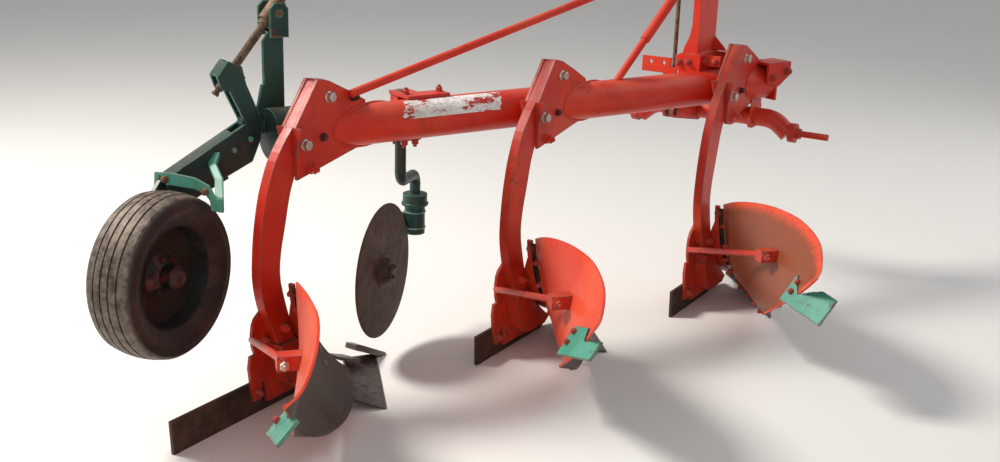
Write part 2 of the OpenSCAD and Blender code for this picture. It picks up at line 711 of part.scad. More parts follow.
nut_d = 42;
nut_h = 44;
module nut() {
  color(rust) at_nut() difference() {
    translate([0, 0, -nut_h / 2]) cylinder(d = nut_d, h = nut_h);
    translate([0, 0, -nut_h]) cylinder(d = spindle_d + 2 * pin_fit, h = 2 * nut_h);
  }
}

rim_d = 340;
hub_bore = axle_d + 2 * pin_fit;
module wheel_disc() {
  color(green) at_wheel() rotate([0, 90, 0]) rotate_extrude($fn = 72)
    polygon([[hub_bore / 2, -40], [38, -40], [38, -22], [70, -16], [rim_d / 2 - 22, -6], [rim_d / 2 - 8, -52],
             [rim_d / 2, -52], [rim_d / 2, 52], [rim_d / 2 - 6, 52], [rim_d / 2 - 16, 4], [70, -8], [38, 18],
             [38, 56], [hub_bore / 2, 56]]);
}

tread_n = 5;         // ribs of the tread
tread_pitch = 29;
groove_w = 6;
groove_deep = 7;
crown = 0.002;       // fall of the tread towards its shoulders
function tread_r(c) = tyre_d / 2 - crown * c * c;

module tyre() {
  edge = tread_n * tread_pitch / 2;
  color(dark) at_wheel() rotate([0, 90, 0]) rotate_extrude($fn = 96)
    polygon(concat([[rim_d / 2 + seat, -52], [rim_d / 2 + seat, 52], [rim_d / 2 + 30, tyre_w / 2 - 12],
      [tyre_d / 2 - 46, tyre_w / 2], [tread_r(tyre_w / 2) - 6, tyre_w / 2 - 2]],
      [for (i = [0:tread_n - 1]) let (c = edge - (i + 0.5) * tread_pitch, h = (tread_pitch - groove_w) / 2)
        for (q = [[c + h, 0], [c, 0], [c - h, 0], [c - h, -groove_deep], [c - h - groove_w, -groove_deep]])
        if (i < tread_n - 1 || q[1] == 0) [tread_r(q[0]) + q[1], q[0]]],
      [[tread_r(tyre_w / 2) - 6, 2 - tyre_w / 2], [tyre_d / 2 - 46, -tyre_w / 2], [rim_d / 2 + 30, 12 - tyre_w / 2]]));
}

// Coulter

stem_xy = beam_xy(-100, 267.3);
swivel_xy = [-60, 1455];
coulter_yaw = 14.2;
coulter_reach = 318;
disc_z = 342;

clamp_s = [235, 410];    // reach of the clamp along the beam
clamp_out = -132;        // its far side
module coulter_clamp() {
  color(red) difference() {
    at_beam() {
      translate([clamp_out, clamp_s[0], -88]) cube([100, 80, 14]);
      translate([clamp_out, clamp_s[0], beam_d / 2 + seat]) cube([clamp_s[1] - clamp_s[0] - 60, 80, 12]);
      translate([-60, clamp_s[0], beam_d / 2 + seat]) cube([70, clamp_s[1] - clamp_s[0], 12]);
      translate([clamp_out, clamp_s[0] + 6, -80]) cube([54, 68, 154]);
    }
    beam_solid();
    translate([stem_xy[0], stem_xy[1], 700]) cylinder(d = stem_d + 2 * pin_fit, h = 400);
  }
}

// Stem: straight down through the clamp, then an S-bend forward and left to the swivel
stem_top = 1006;
bend_r = 48;
bend_a = 84;
stem_low = 706;                               // start of the upper bend
bend_v = swivel_xy - stem_xy;
bend_dir = atan2(bend_v[1], bend_v[0]);
slant = (norm(bend_v) - 2 * bend_r * (1 - cos(bend_a))) / sin(bend_a);
swivel_top = stem_low - 2 * bend_r * sin(bend_a) - slant * cos(bend_a);
housing = [401, 513];                         // height of the swivel housing
swivel_pin_d = 30;

module coulter_stem() {
  color(green) {
    translate([stem_xy[0], stem_xy[1], stem_low]) {
      translate([0, 0, -bend_lap]) cylinder(d = stem_d, h = stem_top - stem_low + bend_lap);
      rotate([0, 0, bend_dir]) {
        // upper bend, slanting run, lower bend, all in one upright plane
        rotate([0, 180, 0]) rotate([90, 0, 0]) elbow(bend_r, bend_a, stem_d + 1);
        translate([bend_r * (1 - cos(bend_a)), 0, -bend_r * sin(bend_a)]) rotate([0, 180 - bend_a, 0])
          translate([0, 0, -bend_lap]) cylinder(d = stem_d, h = slant + 2 * bend_lap);
        translate([norm(bend_v), 0, swivel_top - stem_low]) rotate([90, 0, 0]) elbow(bend_r, bend_a, stem_d + 1);
      }
    }
    translate([swivel_xy[0], swivel_xy[1], 0]) rotate_extrude()
      polygon([[0, housing[0] + 8], [swivel_pin_d / 2, housing[0] + 8], [swivel_pin_d / 2, housing[1] + seat],
               [48, housing[1] + seat], [48, housing[1] + 48], [stem_d / 2, housing[1] + 48],
               [stem_d / 2, swivel_top + bend_lap], [0, swivel_top + bend_lap]]);
  }
}

module at_coulter() {
  translate([swivel_xy[0], swivel_xy[1], 0]) rotate([0, 0, coulter_yaw]) children();
}

coulter_axle_d = 25;
module coulter_arm() {
  color(green) at_coulter() {
    difference() {
      translate([0, 0, housing[0]]) cylinder(d = 80, h = housing[1] - housing[0]);
      translate([0, 0, housing[0] + 8 - seat]) cylinder(d = swivel_pin_d + 2 * pin_fit, h = 150);
    }
    difference() {
      yz(-52, 14) polygon([[-6, 408], [6, 440], [6, 480], [-40, 480], [-320, 372], [-348, 342], [-318, 312], [-60, 404]]);
      translate([0, 0, housing[0]]) cylinder(d = 79, h = 200);
    }
    translate([-52, -coulter_reach, disc_z]) rotate([0, 90, 0]) cylinder(d = coulter_axle_d, h = 78);
  }
}

module coulter_disc() {
  bore = coulter_axle_d / 2 + pin_fit;
  color(steel) at_coulter() translate([0, -coulter_reach, disc_z]) rotate([0, 90, 0]) rotate_extrude($fn = 96)
    polygon([[bore, -32], [40, -32], [46, -disc_t / 2], [disc_d / 2 - 12, -disc_t / 2], [disc_d / 2, -0.5],
             [disc_d / 2, 0.5], [disc_d / 2 - 12, disc_t / 2], [52, disc_t / 2], [40, 30], [bore, 30]]);
}

// One module per piece of each body

module leg_rear() at_body(0) leg(0);
module leg_middle() at_body(1) leg(1);
module leg_front() at_body(2) leg(2);
module bracket_rear() at_body(0) bracket(0);
module bracket_middle() at_body(1) bracket(1);
module bracket_front() at_body(2) bracket(2);
module frog_rear() at_body(0) frog();
module frog_middle() at_body(1) frog();
module frog_front() at_body(2) frog();
module landside_rear() at_body(0) landside(0);
module landside_middle() at_body(1) landside(1);
module landside_front() at_body(2) landside(2);
module share_rear() at_body(0) share();
module share_middle() at_body(1) share();
module share_front() at_body(2) share();
module point_rear() at_body(0) point();
module point_middle() at_body(1) point();
module point_front() at_body(2) point();
module shin_rear() at_body(0) shin();
module shin_middle() at_body(1) shin();
module shin_front() at_body(2) shin();
module moldboard_rear() at_body(0) moldboard();
module moldboard_middle() at_body(1) moldboard();
module moldboard_front() at_body(2) moldboard();
module stay_rear() at_body(0) stay();
module stay_middle() at_body(1) stay();
module stay_front() at_body(2) stay();
module tail_rear() at_body(0) tail(0);
module tail_middle() at_body(1) tail(1);
module tail_front() at_body(2) tail(2);

at_datum() beam();
at_datum() front_end();
at_datum() leg_rear();
at_datum() leg_middle();
at_datum() leg_front();
at_datum() bracket_rear();
at_datum() bracket_middle();
at_datum() bracket_front();
at_datum() frog_rear();
at_datum() frog_middle();
at_datum() frog_front();
at_datum() landside_rear();
at_datum() landside_middle();
at_datum() landside_front();
at_datum() share_rear();
at_datum() share_middle();
at_datum() share_front();
at_datum() point_rear();
at_datum() point_middle();
at_datum() point_front();
at_datum() shin_rear();
at_datum() shin_middle();
at_datum() shin_front();
at_datum() moldboard_rear();
at_datum() moldboard_middle();
at_datum() moldboard_front();
at_datum() stay_rear();
at_datum() stay_middle();
at_datum() stay_front();
at_datum() tail_rear();
at_datum() tail_middle();
at_datum() tail_front();
at_datum() mast();
at_datum() mast_foot();
at_datum() long_stay();
at_datum() short_brace();
at_datum() shaft_bearing();
at_datum() cross_shaft();
at_datum() lever_screw();
at_datum() screw_guide();
at_datum() wheel_bracket();
at_datum() wheel_arm();
at_datum() scraper();
at_datum() swivel_block();
at_datum() spindle();
at_datum() nut();
at_datum() wheel_disc();
at_datum() tyre();
at_datum() coulter_clamp();
at_datum() coulter_stem();
at_datum() coulter_arm();
at_datum() coulter_disc();
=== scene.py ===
"""Looks of the three-furrow plough: materials, fixings, welds, worn faces, studio and camera."""
import math
import random

import bpy
from mathutils import Matrix, Vector
from mathutils.bvhtree import BVHTree
from mathutils.kdtree import KDTree


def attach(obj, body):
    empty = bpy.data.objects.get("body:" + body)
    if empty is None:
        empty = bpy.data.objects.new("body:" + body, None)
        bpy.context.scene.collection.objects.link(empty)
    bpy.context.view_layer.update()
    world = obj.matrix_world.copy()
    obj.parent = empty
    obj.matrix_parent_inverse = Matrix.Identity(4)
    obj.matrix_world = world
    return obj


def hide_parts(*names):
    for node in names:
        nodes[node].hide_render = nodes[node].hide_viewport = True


random.seed(7)
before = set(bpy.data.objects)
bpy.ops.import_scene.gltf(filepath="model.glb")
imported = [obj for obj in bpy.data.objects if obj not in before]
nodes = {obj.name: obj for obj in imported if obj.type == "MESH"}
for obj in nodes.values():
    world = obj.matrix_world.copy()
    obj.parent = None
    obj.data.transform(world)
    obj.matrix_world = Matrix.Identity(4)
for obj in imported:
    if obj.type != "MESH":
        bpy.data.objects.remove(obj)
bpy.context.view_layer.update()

MM = 0.001
PITCH, FURROW = 900, 392                      # from one body to the next, mm
BODIES = ("rear", "middle", "front")
DATUM = Vector((36, -400, 0))                 # where the rear body's own frame stands, mm
BEAM0 = DATUM + Vector((0, 970, 920))         # beam's centre line at the rear leg
BEAM_T = Vector((FURROW, PITCH, 0)).normalized()
BEAM_N = Vector((BEAM_T.y, -BEAM_T.x, 0))     # level and square to the beam, to its right
UP = Vector((0, 0, 1))
BEAM_R = 72.5
BEAM_FRONT = 2040                             # where welds on the tube end, along it


def body_at(k, p):
    return DATUM + Vector((p[0] + k * FURROW, p[1] + k * PITCH, p[2]))


def round_beam(a, r):
    """Step out from the tube's centre line, at an angle from its right side upwards."""
    return r * (math.cos(a) * BEAM_N + math.sin(a) * UP)


def angles(n):
    """A full turn in n steps."""
    return [2 * math.pi * i / n for i in range(n)]


class Place:
    """A frame of its own: X to its right, Y ahead, turned about Z; lengths in mm."""

    def __init__(self, x, y, yaw, rise=0.0):
        a = math.radians(yaw)
        self.at = DATUM + Vector((x, y, rise))
        self.x = Vector((math.cos(a), math.sin(a), 0))
        self.y = Vector((-math.sin(a), math.cos(a), 0))

    def __call__(self, x, y, z):
        return self.at + x * self.x + y * self.y + z * UP


SKEW = math.degrees(math.atan2(FURROW, PITCH))
ARM_SIDE = 50                                 # the depth wheel's arm, left of the beam's centre line
CARRIER = Place(-ARM_SIDE * BEAM_N.x, 970 - ARM_SIDE * BEAM_N.y, -SKEW)
WHEEL = Place(-179, 253, 7.9, 534)            # the wheel's middle, X along its axle
COULTER = Place(-60, 1455, 14.2)              # the coulter's stem, X along the disc's axle

# Materials

def srgb(r, g, b):
    return tuple((v / 12.92 if v <= 0.04045 else ((v + 0.055) / 1.055) ** 2.4)
                 for v in (r / 255, g / 255, b / 255)) + (1.0,)


class Tree:
    """Short words for building a material's nodes."""

    def __init__(self, name):
        self.mat = bpy.data.materials.new(name)
        self.mat.use_nodes = True
        self.nt = self.mat.node_tree
        self.nt.nodes.clear()
        self.out = self.node("ShaderNodeOutputMaterial")
        self.bsdf = self.node("ShaderNodeBsdfPrincipled")
        self.nt.links.new(self.bsdf.outputs[0], self.out.inputs[0])
        self.pos = self.node("ShaderNodeTexCoord").outputs["Object"]

    def node(self, kind, **props):
        n = self.nt.nodes.new(kind)
        for k, v in props.items():
            setattr(n, k, v)
        return n

    def put(self, socket, value):
        if isinstance(value, bpy.types.NodeSocket):
            self.nt.links.new(value, socket)
        else:
            socket.default_value = value

    def noise(self, scale, detail=4, rough=0.55, at=None):
        n = self.node("ShaderNodeTexNoise")
        self.put(n.inputs["Vector"], at if at is not None else self.pos)
        for k, v in (("Scale", scale), ("Detail", detail), ("Roughness", rough)):
            n.inputs[k].default_value = v
        return n.outputs["Fac"]

    def stretch(self, factors, at=None):
        return self.vector("MULTIPLY", at if at is not None else self.pos, factors).outputs[0]

    def step(self, value, lo, hi):
        """0 below lo, 1 above hi, smooth between them."""
        n = self.node("ShaderNodeMapRange", interpolation_type="SMOOTHSTEP")
        for i, v in ((0, value), (1, lo), (2, hi)):
            self.put(n.inputs[i], v)
        return n.outputs[0]

    def calc(self, op, a, b=0.0):
        n = self.node("ShaderNodeMath", operation=op)
        self.put(n.inputs[0], a)
        self.put(n.inputs[1], b)
        return n.outputs[0]

    def mix(self, fac, a, b):
        n = self.node("ShaderNodeMix", data_type="RGBA")
        self.put(n.inputs[0], fac)
        self.put(n.inputs[6], a)
        self.put(n.inputs[7], b)
        return n.outputs[2]

    def edge(self, radius):
        """High on convex and concave edges: how far the bevelled normal leaves the face's own."""
        bev = self.node("ShaderNodeBevel", samples=6)
        bev.inputs["Radius"].default_value = radius
        geo = self.node("ShaderNodeNewGeometry")
        dot = self.vector("DOT_PRODUCT", bev.outputs[0], geo.outputs["Normal"])
        return self.calc("SUBTRACT", 1.0, dot.outputs["Value"])

    def upward(self):
        sep = self.node("ShaderNodeSeparateXYZ")
        geo = self.node("ShaderNodeNewGeometry")
        self.nt.links.new(geo.outputs["Normal"], sep.inputs[0])
        return sep.outputs[2]

    def vector(self, op, a, b=None):
        """Node of vector arithmetic."""
        n = self.node("ShaderNodeVectorMath", operation=op)
        self.put(n.inputs[0], a)
        if b is not None:
            self.put(n.inputs[1], b)
        return n

    def radial(self, centre, axis):
        """Distance from an axle's centre line."""
        off = self.vector("SUBTRACT", self.pos, centre).outputs[0]
        return self.vector("LENGTH", self.vector("CROSS_PRODUCT", off, axis).outputs[0]).outputs["Value"]

    def along(self, origin, axis):
        """Place along an axis, from an origin."""
        off = self.vector("SUBTRACT", self.pos, origin).outputs[0]
        return self.vector("DOT_PRODUCT", off, axis).outputs["Value"]

    def bump(self, height, strength, distance, radius=0.0):
        b = self.node("ShaderNodeBump")
        b.inputs["Strength"].default_value = strength
        b.inputs["Distance"].default_value = distance
        self.put(b.inputs["Height"], height)
        if radius:
            bev = self.node("ShaderNodeBevel", samples=6)
            bev.inputs["Radius"].default_value = radius
            self.nt.links.new(bev.outputs[0], b.inputs["Normal"])
        return b.outputs[0]

    def finish(self, color, rough, metal=0.0, normal=None, coat=0.0):
        self.put(self.bsdf.inputs["Base Color"], color)
        self.put(self.bsdf.inputs["Roughness"], rough)
        self.put(self.bsdf.inputs["Metallic"], metal)
        if normal is not None:
            self.nt.links.new(normal, self.bsdf.inputs["Normal"])
        self.bsdf.inputs["Coat Weight"].default_value = coat
        self.bsdf.inputs["Specular IOR Level"].default_value = 0.38
        self.bsdf.inputs["Coat Roughness"].default_value = 0.25
        return self.mat


RUST = srgb(92, 50, 30)
BARE = srgb(96, 84, 78)
DUST = srgb(150, 128, 100)


def paint(name, main, faded, wear=0.35, spots=0.3, dust=0.25, bare=BARE):
    """Old enamel: faded patches, chipped edges, rust pits, a little dust on top."""
    t = Tree(name)
    patch = t.step(t.noise(3.1, 5), 0.38, 0.66)
    color = t.mix(patch, main, faded)
    dark = tuple(c * 0.55 for c in main[:3]) + (1.0,)
    color = t.mix(t.calc("MULTIPLY", t.step(t.noise(11, 7, 0.7), 0.5, 0.78), 0.45), color, dark)
    fine = t.noise(95, 3)
    pit = t.calc("MULTIPLY", t.step(t.noise(38, 6, 0.75), 0.64 - 0.06 * spots, 0.68),
                 t.step(t.noise(4.7, 2), 0.38, 0.56))
    # long chips, stretched along the machine, and broad worn edges
    chip = t.step(t.noise(17, 7, 0.78, t.stretch((1.0, 0.6, 1.6))), 0.61 - 0.05 * wear, 0.635)
    chip = t.calc("MULTIPLY", chip, t.step(t.noise(2.9, 2), 0.48, 0.62))
    pit = t.calc("MAXIMUM", pit, t.calc("MULTIPLY", chip, min(1.0, 0.35 + wear)))
    broken = t.step(t.noise(21, 6, 0.75), 0.56 - wear * 0.3, 0.64)
    edge = t.calc("MULTIPLY", t.step(t.edge(0.009), 0.01, 0.1), broken)
    edge = t.calc("MULTIPLY", edge, min(1.0, 0.6 + wear))
    grime = t.step(t.noise(5.5, 6, 0.72, t.stretch((1, 1, 0.5))), 0.5, 0.75)
    color = t.mix(t.calc("MULTIPLY", grime, 0.2 + 0.25 * wear), color, srgb(74, 40, 30))
    color = t.mix(t.calc("MULTIPLY", pit, 0.9), color, RUST)
    color = t.mix(edge, color, bare)
    dusty = t.calc("MULTIPLY", t.step(t.upward(), 0.3, 0.95), t.step(t.noise(7, 5), 0.35, 0.7))
    color = t.mix(t.calc("MULTIPLY", dusty, dust), color, DUST)
    worn = t.calc("MAXIMUM", pit, edge)
    roughness = t.calc("ADD", t.calc("MULTIPLY", t.noise(18, 4), 0.22), 0.32)
    roughness = t.calc("ADD", roughness, t.calc("MULTIPLY", worn, 0.25))
    height = t.calc("SUBTRACT", t.calc("MULTIPLY", fine, 0.25), t.calc("MULTIPLY", worn, 0.8))
    return t.finish(color, roughness, 0.0, t.bump(height, 0.35, 0.0008, 0.0022), 0.06)


def metal(name, main, second, rough, metallic, grain=(1, 1, 1), scale=30, rust=0.3):
    """Bare steel: two tones along a grain, rust in patches, brighter edges."""
    t = Tree(name)
    along = t.stretch(grain)
    color = t.mix(t.step(t.noise(scale, 6, 0.7, along), 0.35, 0.68), main, second)
    patch = t.step(t.noise(8.3, 7, 0.7), 0.62 - 0.2 * rust, 0.8 - 0.1 * rust)
    color = t.mix(t.calc("MULTIPLY", patch, min(1, rust * 1.6)), color, RUST)
    edge = t.step(t.edge(0.003), 0.02, 0.2)
    bright = tuple(min(1, c * 1.9 + 0.03) for c in second[:3]) + (1,)
    color = t.mix(t.calc("MULTIPLY", edge, 0.45), color, bright)
    roughness = t.calc("ADD", t.calc("MULTIPLY", t.noise(scale * 1.7, 4, 0.6, along), 0.3), rough - 0.15)
    roughness = t.calc("ADD", roughness, t.calc("MULTIPLY", patch, 0.2))
    metalness = t.calc("SUBTRACT", metallic, t.calc("MULTIPLY", patch, metallic * 0.8))
    height = t.calc("ADD", t.noise(140, 4), t.calc("MULTIPLY", patch, 0.6))
    return t.finish(color, roughness, metalness, t.bump(height, 0.3, 0.0006, 0.0018))


RED = paint("red_enamel", srgb(198, 38, 16), srgb(214, 58, 28))
RED_WORN = paint("red_enamel_worn", srgb(188, 36, 16), srgb(206, 58, 28), wear=0.85, spots=0.9, dust=0.3)
# Green of the depth wheel's bracket and arm and of the coulter's stem and arm: partly its own green paint
# and partly painted shade, because it is darkened to the tone its sides take in shade.
GREEN_PAINTED_SHADE = paint("green_enamel_painted_shade", srgb(14, 40, 35), srgb(24, 62, 54), wear=0.7, spots=0.8, dust=0.15,
              bare=srgb(72, 122, 104))
MINT = paint("mint_enamel", srgb(64, 142, 122), srgb(98, 160, 140), wear=0.5, spots=0.8, dust=0.3,
             bare=srgb(120, 100, 78))
SHELL = metal("brown_steel", srgb(58, 44, 36), srgb(84, 66, 54), 0.6, 0.35, scale=14, rust=0.5)
SHARE = metal("share_steel", srgb(86, 74, 70), srgb(120, 108, 102), 0.42, 0.7, (6, 1, 1), 22, rust=0.2)
POLISH = metal("polished_steel", srgb(74, 60, 56), srgb(104, 88, 82), 0.38, 0.75, (1, 1, 5), 16, rust=0.25)
RUSTY = metal("rusty_steel", srgb(96, 72, 56), srgb(128, 98, 74), 0.62, 0.3, scale=45, rust=0.6)
HUB = metal("hub_iron", srgb(40, 26, 24), srgb(84, 40, 34), 0.6, 0.2, rust=0.3)
ZINC = metal("zinc_plate", srgb(176, 168, 156), srgb(206, 200, 188), 0.34, 0.85, scale=60, rust=0.08)


def screw(name, origin, axis, pitch=0.005):
    """Rusty bar with the rings of a thread, drawn as a bump."""
    t = Tree(name)
    wave = t.calc("SINE", t.calc("MULTIPLY", t.along(origin, axis), 2 * math.pi / pitch))
    color = t.mix(t.step(t.noise(40, 6, 0.7), 0.35, 0.65), srgb(98, 76, 60), srgb(150, 128, 104))
    color = t.mix(t.calc("MULTIPLY", t.step(wave, -0.2, -0.9), 0.6), color, srgb(58, 40, 30))
    return t.finish(color, 0.55, 0.4, t.bump(wave, 0.9, 0.0015))


SPINDLE_LOW, SPINDLE_TOP = CARRIER(0, -415, 1118), CARRIER(0, -252, 1318)
SPINDLE = screw("threaded_spindle", tuple(SPINDLE_LOW * MM),
                tuple((SPINDLE_TOP - SPINDLE_LOW).normalized()))
LEVEL_SCREW = screw("threaded_rod", (0, 0, 0), (0, 0, 1), 0.004)


def finish_node(name, mat):
    nodes[name].data.materials.clear()
    nodes[name].data.materials.append(mat)


# Finish of each CAD node; the wheel and the shins' bare faces follow, and the boards are drawn anew
NODE_MATERIAL = [
    (RED, ["beam", "front_end", "mast", "mast_foot", "long_stay", "short_brace", "shaft_bearing",
           "screw_guide", "coulter_clamp"]),
    (RED_WORN, ["cross_shaft"] + [f"{n}_{b}" for n in ("leg", "bracket", "frog", "shin", "stay")
                                  for b in BODIES]),
    (GREEN_PAINTED_SHADE, ["wheel_bracket", "wheel_arm", "coulter_stem", "coulter_arm"]),
    (MINT, ["scraper", "nut"] + [f"tail_{b}" for b in BODIES]),
    (SHELL, [f"landside_{b}" for b in BODIES] + ["coulter_disc"]),
    (SHARE, [f"{n}_{b}" for n in ("share", "point") for b in BODIES]),
    (RUSTY, ["swivel_block"]),
    (SPINDLE, ["spindle"]),
    (LEVEL_SCREW, ["lever_screw"]),
]
for mat, names in NODE_MATERIAL:
    for n in names:
        finish_node(n, mat)

# Depth wheel: the distance from its axle tells the tread from the wall, and the disc's middle from the rest
WHEEL_C = tuple(WHEEL.at * MM)
WHEEL_A = tuple(WHEEL.x)


def tyre_material():
    t = Tree("worn_tyre")
    tread = t.step(t.radial(WHEEL_C, WHEEL_A), 0.250, 0.2575)
    rib = t.noise(30, 6, 0.75)
    worn = t.mix(t.step(rib, 0.35, 0.65), srgb(66, 56, 50), srgb(126, 112, 100))
    side = t.mix(t.step(t.noise(9, 6, 0.7), 0.4, 0.7), srgb(30, 24, 21), srgb(58, 44, 36))
    color = t.mix(tread, side, worn)
    roughness = t.calc("ADD", t.calc("MULTIPLY", rib, 0.35), 0.38)
    h = t.calc("ADD", t.calc("MULTIPLY", rib, 0.5), t.calc("MULTIPLY", t.noise(120, 4), 0.5))
    return t.finish(color, roughness, t.calc("MULTIPLY", tread, 0.35), t.bump(h, 0.5, 0.0015, 0.002))


def disc_material():
    t = Tree("wheel_disc_paint_and_shade")
    middle = t.calc("SUBTRACT", 1.0, t.step(t.radial(WHEEL_C, WHEEL_A), 0.05, 0.085))
    # Near-black green of the disc: partly its own dark paint and partly painted shade, darkened to the tone
    # of its face in shade.
    color = t.mix(t.step(t.noise(7, 7, 0.7), 0.4, 0.66), srgb(24, 25, 22), srgb(34, 40, 34))
    color = t.mix(t.calc("MULTIPLY", t.step(t.noise(16, 6, 0.75), 0.55, 0.68), 0.8), color, srgb(72, 40, 32))
    red = t.calc("MULTIPLY", t.step(t.noise(10, 4), 0.52, 0.62), middle)
    color = t.mix(t.calc("MULTIPLY", red, 0.6), color, srgb(140, 40, 30))
    roughness = t.calc("ADD", t.calc("MULTIPLY", t.noise(22, 5), 0.3), 0.36)
    return t.finish(color, roughness, 0.1, t.bump(t.noise(60, 6, 0.7), 0.4, 0.001, 0.002))


finish_node("tyre", tyre_material())
finish_node("wheel_disc", disc_material())

# The shins are bare where the soil runs: their faces to the front and to the right
for b in BODIES:
    shin = nodes[f"shin_{b}"].data
    shin.materials.append(POLISH)
    for f in shin.polygons:
        if f.normal.y > 0.2 or f.normal.x > 0.8 and f.normal.z < 0.5:
            f.material_index = 1

for o in nodes.values():
    o.data.polygons.foreach_set("use_smooth", [True] * len(o.data.polygons))


# Small pieces

class Builder:
    """Collects faces with their materials, in mm, and makes one mesh of them."""

    def __init__(self):
        self.verts, self.faces, self.slots, self.smooth, self.mats = [], [], [], [], []

    def add(self, verts, faces, mat, smooth=False):
        if mat not in self.mats:
            self.mats.append(mat)
        base = len(self.verts)
        self.verts += [Vector(v) for v in verts]
        self.faces += [tuple(base + i for i in f) for f in faces]
        self.slots += [self.mats.index(mat)] * len(faces)
        self.smooth += [smooth] * len(faces)

    def make(self, name, body):
        mesh = bpy.data.meshes.new(name)
        mesh.from_pydata([v * MM for v in self.verts], [], self.faces)
        for m in self.mats:
            mesh.materials.append(m)
        mesh.polygons.foreach_set("material_index", self.slots)
        mesh.polygons.foreach_set("use_smooth", self.smooth)
        mesh.update()
        o = bpy.data.objects.new(name, mesh)
        bpy.context.scene.collection.objects.link(o)
        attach(o, body)
        return o

    def lathe(self, at, axis, profile, mat, n=24, spin=0.0, smooth=True):
        """Profile of (place along axis, radius) turned about the axis at a point."""
        z = Vector(axis).normalized()
        x = z.orthogonal().normalized()
        y = z.cross(x)
        verts = [Vector(at) + h * z + r * (math.cos(a) * x + math.sin(a) * y)
                 for h, r in profile for a in [spin + w for w in angles(n)]]
        faces = [(i * n + j, i * n + (j + 1) % n, (i + 1) * n + (j + 1) % n, (i + 1) * n + j)
                 for i in range(len(profile) - 1) for j in range(n)]
        ends = [tuple(range(n))[::-1], tuple(range((len(profile) - 1) * n, len(profile) * n))]
        self.add(verts, faces, mat, smooth)
        self.add(verts, ends, mat)

    def bolt(self, at, axis, across, mat, stud=0.0, washer=True):
        """Hex head or nut with a chamfered crown, on a washer, with or without a threaded end."""
        z = Vector(axis).normalized()
        at = Vector(at)
        spin = random.uniform(0, 1)
        base = 0.0
        if washer:
            base = across * 0.12
            self.lathe(at, z, [(0, across * 0.66), (base * 0.8, across * 0.66), (base, across * 0.63)], mat)
        h = across * 0.62
        r = across / math.sqrt(3)
        self.lathe(at, z, [(base, r), (base + h * 0.86, r), (base + h, r * 0.86)], mat, 6, spin, False)
        if stud:
            shank = across * 0.32
            rings = [(base + h, shank)]
            steps = max(2, int(stud / 2.5))
            for i in range(steps):
                z0 = base + h + stud * i / steps
                rings += [(z0 + stud * 0.3 / steps, shank), (z0 + stud * 0.8 / steps, shank * 0.88)]
            rings += [(base + h + stud, shank * 0.8)]
            self.lathe(at, z, rings, mat, 16)

    def tube(self, path, radius, mat, n=10, closed=False):
        """Round bar along a path; radius is a number or one for each point."""
        points = [Vector(p) for p in path]
        m = len(points)
        radii = radius if isinstance(radius, (list, tuple)) else [radius] * m
        verts = []
        side = None
        for i, p in enumerate(points):
            a = points[(i - 1) % m] if closed or i > 0 else p
            b = points[(i + 1) % m] if closed or i < m - 1 else p
            t = (b - a).normalized()
            side = (t.orthogonal() if side is None else side - side.dot(t) * t).normalized()
            other = t.cross(side)
            verts += [p + radii[i] * (math.cos(w) * side + math.sin(w) * other) for w in angles(n)]
        last = m if closed else m - 1
        faces = [(i * n + j, i * n + (j + 1) % n, ((i + 1) % m) * n + (j + 1) % n, ((i + 1) % m) * n + j)
                 for i in range(last) for j in range(n)]
        self.add(verts, faces, mat, True)
        if not closed:
            self.add(verts, [tuple(range(n))[::-1], tuple(range((m - 1) * n, m * n))], mat)

    def weld(self, path, radius, mat, pitch=4.0, closed=False):
        """Bead with ripples along a path."""
        points = [Vector(p) for p in path]
        if closed:
            points.append(points[0])
        out, carry = [], 0.0
        for a, b in zip(points, points[1:]):
            d = (b - a).length
            while carry < d:
                out.append(a.lerp(b, carry / d))
                carry += pitch / 2
            carry -= d
        radii = [radius * (1.0 + (0.16 if i % 2 else -0.1) + random.uniform(-0.1, 0.1))
                 for i in range(len(out))]
        self.tube(out, radii, mat, 8, closed)


TREES = {}


def seat(node, p):
    """Nearest point of a CAD node's surface and its outward normal, in mm."""
    if node not in TREES:
        mesh = nodes[node].data
        TREES[node] = BVHTree.FromPolygons([v.co / MM for v in mesh.vertices],
                                           [tuple(f.vertices) for f in mesh.polygons])
    at, normal, _, _ = TREES[node].find_nearest(Vector(p))
    return at, normal


# Bolts that every body has: node, rough place on that body, side the head looks to, size across flats,
# finish, length of the threaded end
BODY_BOLTS = [
    ("bracket", (30, 828, 1047), (1, 0, 0), 30, ZINC, 0),
    ("bracket", (30, 704, 904), (1, 0, 0), 30, ZINC, 0),
    ("bracket", (30, 736, 817), (1, 0, 0), 28, RED, 10),
    ("bracket", (-30, 828, 1047), (-1, 0, 0), 30, ZINC, 12),
    ("bracket", (-30, 704, 904), (-1, 0, 0), 30, ZINC, 12),
    ("bracket", (-30, 736, 817), (-1, 0, 0), 28, RED, 0),
    ("leg", (18, 596, 292), (1, 0, 0), 27, RED, 8),
    ("frog", (-30, 596, 292), (-1, 0, 0), 27, RED, 0),
    ("frog", (-18, 535, 258), (1, 0, 0), 24, RED_WORN, 8),
    ("frog", (-30, 535, 258), (-1, 0, 0), 24, RED, 0),
    ("frog", (-18, 498, 78), (1, 0, 0), 24, RED_WORN, 6),
    ("shin", (50, 604, 421), (0.2, -1, 0), 22, RED_WORN, 10),
    ("bracket", (30, 795, 908), (1, 0, 0), 21, HUB, 0),
]
BRACKET_FACE = 30.5           # outer face of a bracket plate, from the body's middle
WELD_STEPS, WELD_R, WELD_RIPPLE = 72, 4.6, 6


